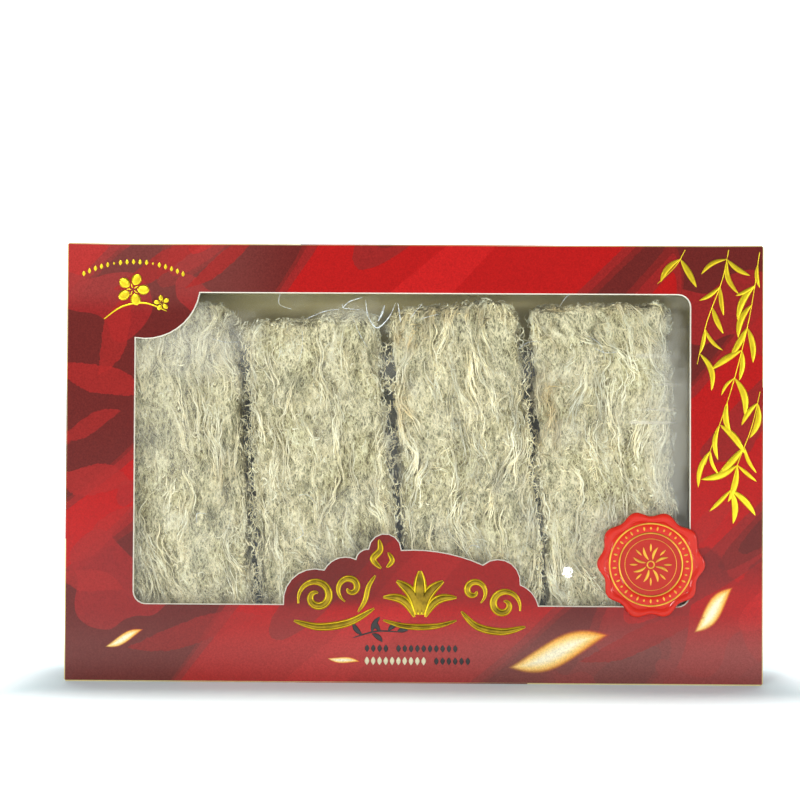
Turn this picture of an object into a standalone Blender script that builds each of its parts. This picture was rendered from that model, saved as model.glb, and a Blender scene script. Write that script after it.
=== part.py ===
"""A window gift carton that holds four pressed slabs of edible bird's nest.

The carton stands on its long edge. X runs along its width, Y from the window side to the back
and Z up. The origin is on the surface that it stands on, under the middle of the whole object.
Every length is in metres.
"""

import math

import bmesh
import bpy
from mathutils import Matrix, Vector, noise

MM = 0.001

# Carton
CARTON_WIDTH = 305 * MM
CARTON_HEIGHT = 192 * MM
CARTON_DEPTH = 36 * MM
BOARD = 0.8 * MM
FOLD_RADIUS = 0.6 * MM
END_TAB_PROUD = 0.8 * MM
END_TAB_DEPTH = 16 * MM
END_TAB_SPANS = ((2 * MM, 19 * MM), (135 * MM, 149 * MM))
CREASE_WIDTH = 0.7 * MM
CREASE_DEPTH = 0.35 * MM
END_CREASE_INSET = 2.4 * MM

# Pieces that touch keep this much air between their meshes
GAP = 0.3 * MM

# Window, as seen from the front
WINDOW_LEFT = -122.2 * MM
WINDOW_RIGHT = 120.4 * MM
WINDOW_BOTTOM = 34.2 * MM
WINDOW_TOP = 170.1 * MM
WINDOW_CORNER = 5.3 * MM
EAR_CENTRE = (-118.0 * MM, 174.1 * MM)
EAR_RADIUS = 24.3 * MM
CORNER_STEPS = 5
EAR_STEPS = 10

# The cloud-shaped plaque that rises into the window: each lobe ends at a notch and swells by a height
PLAQUE_START = (-56.8 * MM, WINDOW_BOTTOM)
PLAQUE_LOBES = (
    ((-39.0 * MM, 49.3 * MM), 6.2 * MM),
    ((-25.2 * MM, 54.1 * MM), 2.9 * MM),
    ((-19.7 * MM, 58.5 * MM), 1.3 * MM),
    ((-5.1 * MM, 58.1 * MM), 7.0 * MM),
    ((30.4 * MM, 51.9 * MM), 2.2 * MM),
    ((46.9 * MM, 43.3 * MM), 6.4 * MM),
    ((54.8 * MM, WINDOW_BOTTOM), 1.5 * MM),
)
LOBE_STEPS = 7

# Wax-look seal over the window's lower right corner
SEAL_CENTRE = (103.2 * MM, 52.6 * MM)
SEAL_RADIUS = 22.4 * MM
SEAL_SCALLOPS = 10
SEAL_SCALLOP_DEPTH = 1.1 * MM
SEAL_BASE = 0.9 * MM
SEAL_RIM = 1.5 * MM
SEAL_STEPS = 50

# Clear sheets
FILM = 0.3 * MM
FILM_LAP = 7 * MM
WRAP_HALF_WIDTH = 144 * MM
WRAP_BOTTOM = 10 * MM
WRAP_TOP = 183 * MM

# Clear tray
TRAY_WALL = 0.6 * MM
TRAY_CLEARANCE = 0.7 * MM
POCKET_LEFT = -142 * MM
POCKET_RIGHT = 124 * MM
POCKET_BOTTOM = 13.5 * MM
POCKET_TOP = 177 * MM
POCKET_CORNER = 8 * MM
POCKET_DRAFT = 1.2 * MM
SIDE_FLUTES = 11
EDGE_FLUTES = 18
FLUTE_DEPTH = 0.7 * MM
FLUTE_POINTS = 4
RIB_COUNT = 9
RIB_WIDTH = 3 * MM
RIB_HEIGHT = 1.0 * MM

# Nest slabs: x of the middle, width, bottom z, top z, lean of the top to the left in degrees, and how
# much narrower the slab is at its top
NESTS = {
    "nest_1": (-105.4 * MM, 61.4 * MM, 20.5 * MM, 166.5 * MM, 3.6, 0.5 * MM),
    "nest_2": (-40.9 * MM, 62.8 * MM, 19.5 * MM, 162.5 * MM, 4.2, 4.5 * MM),
    "nest_3": (23.0 * MM, 60.6 * MM, 19.0 * MM, 167.0 * MM, 4.4, 0.5 * MM),
    "nest_4": (86.6 * MM, 62.2 * MM, 19.5 * MM, 168.5 * MM, 3.4, 0.5 * MM),
}
NEST_THICKNESS = 22.5 * MM
NEST_ROUND = 4 * MM
SIDE_BULGE = 0.9 * MM
NEST_CELLS = (10, 4, 24)
FURROW_HEIGHT = 2.6 * MM
TUFT_HEIGHT = 1.6 * MM

# Depth of each layer, from the front face of the carton towards its back
SEAL_PROUD = GAP + SEAL_RIM
FRONT = -(CARTON_DEPTH + SEAL_PROUD) / 2 + SEAL_PROUD
BACK = FRONT + CARTON_DEPTH
FILM_FRONT = FRONT + BOARD + GAP
WRAP_FRONT = FILM_FRONT + FILM + 0.7 * MM
TRAY_FRONT = WRAP_FRONT + FILM + GAP
TRAY_FLOOR = BACK - BOARD - 6 * MM
NEST_BACK = TRAY_FLOOR - RIB_HEIGHT - 1.6 * MM

# Colours, roughness and metal
CARD_RED = (0.50, 0.035, 0.025, 1)
SEAL_RED = (0.62, 0.03, 0.02, 1)
NEST_IVORY = (0.62, 0.56, 0.36, 1)
CLEAR = (0.85, 0.87, 0.86, 1)


def material(name, colour, roughness, metallic=0.0, alpha=1.0):
    """A Principled material."""
    made = bpy.data.materials.new(name)
    made.use_nodes = True
    shader = made.node_tree.nodes["Principled BSDF"]
    shader.inputs["Base Color"].default_value = colour
    shader.inputs["Roughness"].default_value = roughness
    shader.inputs["Metallic"].default_value = metallic
    shader.inputs["Alpha"].default_value = alpha
    return made


def add_object(name, mesh, finish):
    """Links a mesh to the scene as one named object."""
    made = bpy.data.objects.new(name, mesh)
    bpy.context.scene.collection.objects.link(made)
    made.data.materials.append(finish)
    return made


def mesh_from(bm, name, smooth_below=None):
    """Turns a bmesh into a mesh with its faces pointing out, shaded smooth below an angle in degrees."""
    bmesh.ops.recalc_face_normals(bm, faces=bm.faces)
    mesh = bpy.data.meshes.new(name)
    bm.to_mesh(mesh)
    bm.free()
    if smooth_below is not None:
        mesh.shade_smooth()
        mesh.set_sharp_from_angle(angle=math.radians(smooth_below))
    return mesh


def box_bmesh(low, high):
    """A bmesh box between two corners."""
    bm = bmesh.new()
    low, high = Vector(low), Vector(high)
    size = high - low
    place = Matrix.Translation((low + high) / 2) @ Matrix.Diagonal((*size, 1))
    bmesh.ops.create_cube(bm, size=1, matrix=place)
    return bm


def cutter(name, bm):
    """An object that only cuts others."""
    made = bpy.data.objects.new(name, mesh_from(bm, name))
    bpy.context.scene.collection.objects.link(made)
    made.hide_render = True
    made.display_type = "WIRE"
    return made


def boolean(target, tool, operation):
    """Adds an exact Boolean modifier."""
    made = target.modifiers.new(tool.name, "BOOLEAN")
    made.object = tool
    made.operation = operation
    made.solver = "EXACT"


def arc(centre, radius, start, end, steps):
    """Points on an arc from one angle to another, in degrees, both ends included."""
    points = []
    for i in range(steps + 1):
        angle = math.radians(start + (end - start) * i / steps)
        points.append((centre[0] + radius * math.cos(angle), centre[1] + radius * math.sin(angle)))
    return points


def lobe(start, end, height, steps):
    """Points on the arc that swells by height to the left of start to end, without its first point."""
    a, b = Vector(start), Vector(end)
    chord = (b - a).length
    radius = (chord * chord / 4 + height * height) / (2 * height)
    side = Vector((a.y - b.y, b.x - a.x)) / chord
    centre = (a + b) / 2 + side * (height - radius)
    first = math.atan2(a.y - centre.y, a.x - centre.x)
    sweep = 2 * math.asin(min(1.0, chord / 2 / radius))
    if height > radius:
        sweep = 2 * math.pi - sweep
    points = []
    for i in range(1, steps + 1):
        angle = first - sweep * i / steps
        points.append((centre.x + radius * math.cos(angle), centre.y + radius * math.sin(angle)))
    return points


def window_outline():
    """The die-cut window, clockwise seen from the front, starting at the plaque's left foot."""
    points = [PLAQUE_START]
    for notch, height in PLAQUE_LOBES:
        points += lobe(points[-1], notch, height, LOBE_STEPS)
    low, high = WINDOW_BOTTOM + WINDOW_CORNER, WINDOW_TOP - WINDOW_CORNER
    right, left = WINDOW_RIGHT - WINDOW_CORNER, WINDOW_LEFT + WINDOW_CORNER
    points += arc((right, low), WINDOW_CORNER, -90, 0, CORNER_STEPS)
    points += arc((right, high), WINDOW_CORNER, 0, 90, CORNER_STEPS)
    top_angle = math.degrees(math.asin((WINDOW_TOP - EAR_CENTRE[1]) / EAR_RADIUS))
    side_angle = math.degrees(math.acos((WINDOW_LEFT - EAR_CENTRE[0]) / EAR_RADIUS))
    points += arc(EAR_CENTRE, EAR_RADIUS, top_angle, -side_angle, EAR_STEPS)
    points += arc((left, low), WINDOW_CORNER, 180, 270, CORNER_STEPS)
    return points


def prism(outline, front, back):
    """A bmesh prism over an (x, z) outline between two depths."""
    bm = bmesh.new()
    near = [bm.verts.new((x, front, z)) for x, z in outline]
    far = [bm.verts.new((x, back, z)) for x, z in outline]
    bm.faces.new(near)
    bm.faces.new(reversed(far))
    count = len(outline)
    for i in range(count):
        j = (i + 1) % count
        bm.faces.new((near[j], near[i], far[i], far[j]))
    return bm


def crease_cutters(side):
    """Thin slots on one end of the carton that show where its closing panel tucks in."""
    face = side * CARTON_WIDTH / 2
    outer, inner = face + side * CREASE_DEPTH, face - side * CREASE_DEPTH
    xs = sorted((outer, inner))
    y0, y1 = FRONT + END_CREASE_INSET, BACK - END_CREASE_INSET
    z0, z1 = END_CREASE_INSET, CARTON_HEIGHT - END_CREASE_INSET
    spans = (
        ((y0, z0), (y0 + CREASE_WIDTH, z1)),
        ((y0 + CREASE_WIDTH, z0), (y1, z0 + CREASE_WIDTH)),
        ((y0 + CREASE_WIDTH, z1 - CREASE_WIDTH), (y1, z1)),
    )
    return [
        cutter(f"crease_{'left' if side < 0 else 'right'}_{i}", box_bmesh((xs[0], *low), (xs[1], *high)))
        for i, (low, high) in enumerate(spans)
    ]


def end_tabs(side):
    """The two lock tabs that stand a little proud of one end of the carton."""
    face = side * CARTON_WIDTH / 2
    xs = sorted((face - side * BOARD / 2, face + side * END_TAB_PROUD))
    y0 = FRONT + END_CREASE_INSET + 2 * CREASE_WIDTH
    made = []
    for i, (z0, z1) in enumerate(END_TAB_SPANS):
        z0 = max(z0, END_CREASE_INSET + 2 * CREASE_WIDTH)
        bm = box_bmesh((xs[0], y0, z0), (xs[1], y0 + END_TAB_DEPTH, z1))
        made.append(cutter(f"end_tab_{'left' if side < 0 else 'right'}_{i}", bm))
    return made


def build_carton(finish):
    """The folded board box: one sheet of card, with its window, closing panels and lock tabs."""
    half = CARTON_WIDTH / 2
    bm = box_bmesh((-half, FRONT, 0), (half, BACK, CARTON_HEIGHT))
    bmesh.ops.bevel(bm, geom=list(bm.edges), offset=FOLD_RADIUS, segments=2, affect="EDGES")
    carton = add_object("carton", mesh_from(bm, "carton"), finish)
    low = (-half + BOARD, FRONT + BOARD, BOARD)
    high = (half - BOARD, BACK - BOARD, CARTON_HEIGHT - BOARD)
    boolean(carton, cutter("carton_inside", box_bmesh(low, high)), "DIFFERENCE")
    window = prism(window_outline(), FRONT - BOARD, FRONT + 2 * BOARD)
    boolean(carton, cutter("window_cut", window), "DIFFERENCE")
    for side in (-1, 1):
        for tool in crease_cutters(side):
            boolean(carton, tool, "DIFFERENCE")
        for tool in end_tabs(side):
            boolean(carton, tool, "UNION")
    return carton


def build_sheet(name, low, high, finish):
    """A flat clear sheet between two corners."""
    return add_object(name, mesh_from(box_bmesh(low, high), name), finish)


def seal_radius(angle, share):
    """The seal's scalloped radius at an angle: share 1 is its edge, and the scallops fade inwards."""
    wave = math.cos(SEAL_SCALLOPS * angle) + 0.35 * math.sin(3 * angle + 0.7)
    fade = max(0.0, (share - 0.7) / 0.3)
    return SEAL_RADIUS * share + SEAL_SCALLOP_DEPTH * wave * fade


def build_seal(finish):
    """A round seal with a scalloped edge, a raised rim and a flat middle."""
    rings = (
        (0.985, 0.0),
        (1.0, 0.35),
        (0.985, 0.8),
        (0.94, 1.0),
        (0.88, 0.92),
        (0.84, 0.6),
        (0.80, 0.6),
    )
    back = FRONT - GAP
    bm = bmesh.new()
    loops = []
    for share, rise in rings:
        y = back - SEAL_RIM * rise
        loop = []
        for i in range(SEAL_STEPS):
            angle = 2 * math.pi * i / SEAL_STEPS
            r = seal_radius(angle, share)
            loop.append(bm.verts.new((SEAL_CENTRE[0] + r * math.cos(angle), y, SEAL_CENTRE[1] + r * math.sin(angle))))
        loops.append(loop)
    for outer, inner in zip(loops, loops[1:]):
        for i in range(SEAL_STEPS):
            j = (i + 1) % SEAL_STEPS
            bm.faces.new((outer[i], outer[j], inner[j], inner[i]))
    bm.faces.new(loops[0])
    bm.faces.new(reversed(loops[-1]))
    return add_object("seal", mesh_from(bm, "seal", 40), finish)


def pocket_outline(grow, flute):
    """The tray pocket's outline, grown outwards by grow, with flutes of a depth along its sides."""
    left, right, bottom, top = POCKET_LEFT, POCKET_RIGHT, POCKET_BOTTOM, POCKET_TOP
    sides = (
        ((left, bottom), (right, bottom), EDGE_FLUTES),
        ((right, bottom), (right, top), SIDE_FLUTES),
        ((right, top), (left, top), EDGE_FLUTES),
        ((left, top), (left, bottom), SIDE_FLUTES),
    )
    points = []
    for (x0, z0), (x1, z1), flutes in sides:
        length = math.hypot(x1 - x0, z1 - z0)
        along_x, along_z = (x1 - x0) / length, (z1 - z0) / length
        out_x, out_z = along_z, -along_x
        count = flutes * FLUTE_POINTS
        for i in range(count + 1):
            s = POCKET_CORNER + (length - 2 * POCKET_CORNER) * i / count
            swell = grow + flute * (0.5 - 0.5 * math.cos(2 * math.pi * i / FLUTE_POINTS))
            points.append((x0 + along_x * s + out_x * swell, z0 + along_z * s + out_z * swell))
        corner = (x1 - (along_x + out_x) * POCKET_CORNER, z1 - (along_z + out_z) * POCKET_CORNER)
        start = math.degrees(math.atan2(out_z, out_x))
        points += arc(corner, POCKET_CORNER + grow, start, start + 90, CORNER_STEPS)[1:-1]
    return points


def flange_outline():
    """The tray's outer edge, a rectangle with one point for each point of the pocket's outline."""
    half_x = CARTON_WIDTH / 2 - BOARD - TRAY_CLEARANCE
    half_z = CARTON_HEIGHT / 2 - BOARD - TRAY_CLEARANCE
    middle_x, middle_z = (POCKET_LEFT + POCKET_RIGHT) / 2, (POCKET_BOTTOM + POCKET_TOP) / 2
    points = []
    for x, z in pocket_outline(0, 0):
        share_x = (x - middle_x) / (POCKET_RIGHT - middle_x)
        share_z = (z - middle_z) / (POCKET_TOP - middle_z)
        reach = max(abs(share_x), abs(share_z))
        points.append((share_x / reach * half_x, CARTON_HEIGHT / 2 + share_z / reach * half_z))
    return points


def build_tray(finish):
    """A thin formed tray: a flat flange, a fluted pocket and a ribbed floor."""
    levels = (
        (flange_outline(), TRAY_FRONT),
        (pocket_outline(0, 0), TRAY_FRONT),
        (pocket_outline(-POCKET_DRAFT, FLUTE_DEPTH), TRAY_FLOOR),
        (pocket_outline(TRAY_WALL - POCKET_DRAFT, FLUTE_DEPTH), TRAY_FLOOR + TRAY_WALL),
        (pocket_outline(TRAY_WALL, 0), TRAY_FRONT + TRAY_WALL),
        (flange_outline(), TRAY_FRONT + TRAY_WALL),
    )
    bm = bmesh.new()
    loops = [[bm.verts.new((x, y, z)) for x, z in outline] for outline, y in levels]
    count = len(loops[0])
    pairs = [(loops[i], loops[i + 1]) for i in (0, 1, 3, 4)] + [(loops[5], loops[0])]
    for a, b in pairs:
        for i in range(count):
            j = (i + 1) % count
            bm.faces.new((a[i], a[j], b[j], b[i]))
    bm.faces.new(loops[2])
    bm.faces.new(loops[3])
    tray = add_object("tray", mesh_from(bm, "tray"), finish)
    for i in range(RIB_COUNT):
        z = POCKET_BOTTOM + (POCKET_TOP - POCKET_BOTTOM) * (i + 0.5) / RIB_COUNT
        low = (POCKET_LEFT + 2 * POCKET_CORNER, TRAY_FLOOR - RIB_HEIGHT, z - RIB_WIDTH / 2)
        high = (POCKET_RIGHT - 2 * POCKET_CORNER, TRAY_FLOOR + TRAY_WALL / 2, z + RIB_WIDTH / 2)
        boolean(tray, cutter(f"tray_rib_{i}", box_bmesh(low, high)), "UNION")
    return tray


def round_box_point(p, half):
    """Moves a point of a box's surface onto the same box with its edges and corners rounded."""
    inner = Vector([max(-(h - NEST_ROUND), min(h - NEST_ROUND, c)) for c, h in zip(p, half)])
    out = p - inner
    return inner + out.normalized() * NEST_ROUND


def box_shell(half, cells):
    """A bmesh box of a half size whose faces are grids of cells."""
    bm = bmesh.new()
    bmesh.ops.create_cube(bm, size=2, matrix=Matrix.Diagonal((*half, 1)))
    for axis in range(3):
        normal = Vector((0, 0, 0))
        normal[axis] = 1
        for i in range(1, cells[axis]):
            place = normal * (half[axis] * (2 * i / cells[axis] - 1))
            geometry = list(bm.verts) + list(bm.edges) + list(bm.faces)
            bmesh.ops.bisect_plane(bm, geom=geometry, plane_co=place, plane_no=normal)
    return bm


def nest_relief(p, shift):
    """How far the pressed strands stand in or out at a point: long upright furrows with tufts on them."""
    furrow = noise.noise(Vector((p.x * 95, p.y * 60, p.z * 22)) + shift)
    swell = noise.noise(Vector((p.x * 30, p.y * 30, p.z * 26)) - shift)
    tuft = noise.noise(Vector((p.x * 190, p.y * 160, p.z * 150)) + shift * 2)
    return FURROW_HEIGHT * (furrow + 0.7 * swell) + TUFT_HEIGHT * tuft


def build_nest(name, finish):
    """One slab of pressed nest strands, leaning a little, with a furrowed face and ragged edges."""
    middle_x, width, bottom, top, lean, taper = NESTS[name]
    room = FURROW_HEIGHT + TUFT_HEIGHT / 2
    half = Vector((width / 2 - SIDE_BULGE, NEST_THICKNESS / 2 - room / 2, (top - bottom) / 2 - room / 2))
    shift = Vector((7.3, 3.1, 5.9)) * (1 + list(NESTS).index(name))
    bm = box_shell(half, NEST_CELLS)
    moved = {}
    for v in bm.verts:
        p = round_box_point(v.co, half)
        inner = Vector([max(-(h - NEST_ROUND), min(h - NEST_ROUND, c)) for c, h in zip(p, half)])
        out = (p - inner).normalized()
        relief = nest_relief(p, shift)
        if abs(out.x) > 0.5:
            relief = min(relief, SIDE_BULGE)
        up = max(0.0, 0.5 + p.z / (top - bottom))
        p.x *= 1 - taper * up * up / width
        moved[v] = p + out * relief
    for v, p in moved.items():
        v.co = p
    tilt = Matrix.Rotation(math.radians(-lean), 4, "Y")
    centre = Vector((middle_x, NEST_BACK - NEST_THICKNESS / 2, (bottom + top) / 2))
    bm.transform(Matrix.Translation(centre) @ tilt)
    bmesh.ops.triangulate(bm, faces=bm.faces)
    return add_object(name, mesh_from(bm, name, 60), finish)


def clear_scene():
    """Removes every object, so that the script gives the same result each run."""
    for item in list(bpy.data.objects):
        bpy.data.objects.remove(item)


def main():
    clear_scene()
    print_card = material("printed_card", CARD_RED, 0.35)
    wax = material("seal_red", SEAL_RED, 0.25)
    ivory = material("nest_strands", NEST_IVORY, 0.5)
    clear = material("clear_plastic", CLEAR, 0.1, alpha=0.3)
    build_carton(print_card)
    build_seal(wax)
    build_sheet(
        "window_film",
        (WINDOW_LEFT - FILM_LAP, FILM_FRONT, WINDOW_BOTTOM - FILM_LAP),
        (WINDOW_RIGHT + FILM_LAP, FILM_FRONT + FILM, WINDOW_TOP + FILM_LAP),
        clear,
    )
    build_sheet(
        "inner_wrap",
        (-WRAP_HALF_WIDTH, WRAP_FRONT, WRAP_BOTTOM),
        (WRAP_HALF_WIDTH, WRAP_FRONT + FILM, WRAP_TOP),
        clear,
    )
    build_tray(clear)
    for name in NESTS:
        build_nest(name, ivory)


main()
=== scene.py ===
"""Looks of the window carton with four pressed slabs of edible bird's nest."""

import math

import bmesh
import bpy
import numpy as np
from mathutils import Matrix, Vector, noise
from mathutils.bvhtree import BVHTree


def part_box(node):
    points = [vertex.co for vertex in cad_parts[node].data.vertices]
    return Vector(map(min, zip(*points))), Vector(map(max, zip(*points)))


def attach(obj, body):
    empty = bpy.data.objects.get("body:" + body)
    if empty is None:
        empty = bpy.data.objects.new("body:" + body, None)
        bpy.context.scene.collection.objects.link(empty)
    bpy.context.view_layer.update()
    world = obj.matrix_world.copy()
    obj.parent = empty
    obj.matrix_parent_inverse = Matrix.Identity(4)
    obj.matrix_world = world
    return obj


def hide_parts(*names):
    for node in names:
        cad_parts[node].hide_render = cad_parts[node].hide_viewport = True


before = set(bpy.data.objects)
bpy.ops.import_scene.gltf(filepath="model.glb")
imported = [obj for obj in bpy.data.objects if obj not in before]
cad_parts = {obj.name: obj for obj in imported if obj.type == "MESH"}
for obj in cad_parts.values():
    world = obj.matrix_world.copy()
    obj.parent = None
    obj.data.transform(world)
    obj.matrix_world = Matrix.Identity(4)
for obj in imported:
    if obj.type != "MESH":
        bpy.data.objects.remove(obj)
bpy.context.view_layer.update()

MM = 0.001
BOARD = 0.8 * MM
CARTON_LOW, CARTON_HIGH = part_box("carton")
FRONT, BACK = CARTON_LOW.y, CARTON_HIGH.y
HALF_WIDTH = 152.5 * MM
HEIGHT = CARTON_HIGH.z
NESTS = ("nest_1", "nest_2", "nest_3", "nest_4")


# Meshes

def make_mesh(name, points, faces, smooth=True):
    """A mesh from an array of points and one array of faces, or a list of arrays of different lengths."""
    groups = faces if isinstance(faces, list) else [faces]
    mesh = bpy.data.meshes.new(name)
    mesh.vertices.add(len(points))
    mesh.vertices.foreach_set("co", np.asarray(points, np.float32).ravel())
    loops = np.concatenate([np.asarray(g, np.int32).ravel() for g in groups])
    sizes = np.concatenate([np.full(len(g), len(g[0]), np.int32) for g in groups])
    mesh.loops.add(len(loops))
    mesh.loops.foreach_set("vertex_index", loops)
    mesh.polygons.add(len(sizes))
    mesh.polygons.foreach_set("loop_start", np.concatenate([[0], np.cumsum(sizes)[:-1]]).astype(np.int32))
    mesh.polygons.foreach_set("use_smooth", np.full(len(sizes), smooth))
    mesh.update(calc_edges=True)
    mesh.validate()
    return mesh


def add_piece(name, mesh, finish, replaces=()):
    """Links a mesh as a piece of the object that rides on its one body."""
    made = bpy.data.objects.new(name, mesh)
    bpy.context.scene.collection.objects.link(made)
    for item in finish if isinstance(finish, (list, tuple)) else [finish]:
        mesh.materials.append(item)
    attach(made, "root")
    if replaces:
        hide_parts(*replaces)
    return made


def points_of(mesh):
    """The mesh's points as an array."""
    out = np.empty(len(mesh.vertices) * 3, np.float32)
    mesh.vertices.foreach_get("co", out)
    return out.reshape(-1, 3).astype(float)


def ring_quads(index):
    """Quads between rings of points. The index's last two axes are the rings and the places on them."""
    after = np.roll(index, -1, axis=-1)
    corners = [index[..., :-1, :], after[..., :-1, :], after[..., 1:, :], index[..., 1:, :]]
    return np.stack(corners, -1).reshape(-1, 4)


def joined(parts):
    """One set of points and of each kind of face from many parts, which are points and then faces."""
    starts = np.cumsum([0] + [len(part[0]) for part in parts])
    kinds = range(1, len(parts[0]))
    faces = [np.concatenate([part[k] + start for part, start in zip(parts, starts)]) for k in kinds]
    return np.concatenate([part[0] for part in parts]), faces


def spoke(centre, radius, angle):
    """The point at a radius and an angle from a centre."""
    return centre[0] + radius * math.cos(angle), centre[1] + radius * math.sin(angle)


def welded(node):
    """A bmesh copy of a CAD node with its split points joined."""
    bm = bmesh.new()
    bm.from_mesh(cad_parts[node].data)
    bmesh.ops.remove_doubles(bm, verts=bm.verts, dist=1e-6)
    return bm


def subdivided(bm, levels):
    """The mesh of a bmesh after smooth subdivision."""
    mesh = bpy.data.meshes.new("base")
    bm.to_mesh(mesh)
    bm.free()
    holder = bpy.data.objects.new("base", mesh)
    bpy.context.scene.collection.objects.link(holder)
    made = holder.modifiers.new("smooth", "SUBSURF")
    made.levels = made.render_levels = levels
    graph = bpy.context.evaluated_depsgraph_get()
    out = bpy.data.meshes.new_from_object(holder.evaluated_get(graph))
    bpy.data.objects.remove(holder)
    return out


# Materials

class Value:
    """The output of a node. It can be added, taken away and multiplied like a number."""

    def __init__(self, shade, socket):
        self.shade = shade
        self.socket = socket

    def __add__(self, other):
        return self.shade.math("ADD", self, other)

    def __sub__(self, other):
        return self.shade.math("SUBTRACT", self, other)

    def __rsub__(self, other):
        return self.shade.math("SUBTRACT", other, self)

    def __mul__(self, other):
        return self.shade.math("MULTIPLY", self, other)


class Shade:
    """A material with short calls for its nodes. An input is a Value or a plain value."""

    def __init__(self, name):
        self.material = bpy.data.materials.new(name)
        self.material.use_nodes = True
        self.tree = self.material.node_tree
        self.shader = self.tree.nodes["Principled BSDF"]
        self.output = self.tree.nodes["Material Output"]

    def link(self, value, socket):
        if isinstance(value, Value):
            self.tree.links.new(value.socket, socket)
        elif value is not None:
            socket.default_value = value

    def set(self, **values):
        for key, value in values.items():
            self.link(value, self.shader.inputs[key.replace("_", " ")])

    def node(self, kind, inputs=(), out=0, **settings):
        """One output of a new node. Its inputs come in order, or by name or place."""
        made = self.tree.nodes.new(kind)
        for key, value in settings.items():
            setattr(made, key, value)
        for key, value in inputs.items() if isinstance(inputs, dict) else enumerate(inputs):
            self.link(value, made.inputs[key])
        return Value(self, made.outputs[out])

    def math(self, operation, a, b=None, c=None, clamp=False):
        return self.node("ShaderNodeMath", (a, b, c), operation=operation, use_clamp=clamp)

    def largest(self, *values):
        most = values[0]
        for value in values[1:]:
            most = self.math("MAXIMUM", most, value)
        return most

    def position(self):
        """The point on the piece, in millimetres of the row frame."""
        place = self.node("ShaderNodeTexCoord", out=3)
        return self.node("ShaderNodeVectorMath", (place, (1000, 1000, 1000)), operation="MULTIPLY")

    def split(self, vector):
        made = self.tree.nodes.new("ShaderNodeSeparateXYZ")
        self.link(vector, made.inputs[0])
        return [Value(self, socket) for socket in made.outputs]

    def join(self, x, y, z):
        return self.node("ShaderNodeCombineXYZ", (x, y, z))

    def noise(self, vector, scale, detail=2.0, rough=0.5, stretch=(1, 1, 1)):
        place = self.node("ShaderNodeVectorMath", (vector, stretch), operation="MULTIPLY")
        inputs = {"Vector": place, "Scale": scale, "Detail": detail, "Roughness": rough}
        return self.node("ShaderNodeTexNoise", inputs)

    def apart(self, x, z, centre, size=(1, 1)):
        """How far a point is from a centre, in units of a size."""
        dx = (x - centre[0]) * (1 / size[0])
        dz = (z - centre[1]) * (1 / size[1])
        return self.node("ShaderNodeVectorMath", (self.join(dx, 0.0, dz),), out=1, operation="LENGTH")

    def range(self, value, low, high, to_low=0.0, to_high=1.0, kind="SMOOTHSTEP"):
        inputs = (value, low, high, to_low, to_high)
        return self.node("ShaderNodeMapRange", inputs, interpolation_type=kind)

    def mix(self, share, a, b, blend="MIX"):
        return self.node("ShaderNodeMix", {0: share, 6: a, 7: b}, 2, data_type="RGBA", blend_type=blend)

    def multiplied(self, colour, amount):
        return self.mix(1.0, colour, self.join(amount, amount, amount), "MULTIPLY")

    def ramp(self, value, stops, kind="LINEAR"):
        made = self.tree.nodes.new("ShaderNodeValToRGB")
        self.link(value, made.inputs[0])
        ramp = made.color_ramp
        ramp.interpolation = kind
        while len(ramp.elements) < len(stops):
            ramp.elements.new(1.0)
        for element, (place, colour) in zip(ramp.elements, stops):
            element.position = place
            element.color = colour
        return Value(self, made.outputs[0])

    def tilt(self, height, strength=1.0, distance=MM):
        """The normal of a surface that is raised by a height."""
        return self.node("ShaderNodeBump", {"Strength": strength, "Distance": distance, "Height": height})

    def bump(self, height, strength, distance):
        self.link(self.tilt(height, strength, distance), self.shader.inputs["Normal"])


def mottled(name, patches, colour, other, ridges=None, span=None, **values):
    """A material of two colours in soft patches. Ridges are a noise, a strength and a depth in metres."""
    s = Shade(name)
    n = s.noise(s.position(), *patches)
    if span:
        n = s.range(n, *span)
    s.set(Base_Color=s.mix(n, colour, other), **values)
    if ridges:
        s.bump(s.noise(s.position(), *ridges[0]), *ridges[1:])
    return s.material


# Carton

BRIGHT = (0.40, 0.006, 0.005, 1)
LIGHT_RED = (0.47, 0.009, 0.008, 1)
MID_RED = (0.27, 0.013, 0.011, 1)
MAROON = (0.125, 0.013, 0.010, 1)
BRUSH_RED = (0.34, 0.015, 0.012, 1)
# Brush shapes on the print: centre (x, z), angle in degrees, length, width and strength
BRUSH = [
    ((-137, 132), -24, 44, 13, 0.7),
    ((-142, 112), 22, 30, 8, 0.6),
    ((-131, 152), 64, 40, 12, 0.65),
    ((-140, 88), -10, 34, 14, 0.75),
    ((-137, 64), 38, 40, 9, 0.6),
    ((-141, 44), -18, 30, 10, 0.65),
    ((-112, 182), 26, 46, 9, 0.6),
    ((-84, 184), 34, 40, 7, 0.7),
    ((-96, 22), 12, 60, 11, 0.5),
    ((128, 70), 34, 30, 9, 0.5),
    ((100, 20), 18, 60, 10, 0.45),
]


# Colours of a glowing petal from its edge to its middle
GLOW = [
    (0.0, (0.55, 0.05, 0.01, 1)),
    (0.22, (0.86, 0.36, 0.04, 1)),
    (0.5, (0.95, 0.66, 0.22, 1)),
    (0.85, (0.98, 0.88, 0.62, 1)),
]


def petal_mask(s, x, z, centre, turn, length, width):
    """A soft lens shape on the print, and how far along it a point is, from -1 to 1."""
    c, n = math.cos(math.radians(turn)), math.sin(math.radians(turn))
    dx, dz = x - centre[0], z - centre[1]
    along = dx * (2 * c / length) + dz * (2 * n / length)
    across = dx * (-2 * n / width) + dz * (2 * c / width)
    bend = s.math("SINE", along * 2.6) * 0.32
    across = s.math("ABSOLUTE", across - bend)
    room = 1.0 - along * along
    return room - across, along


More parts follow.
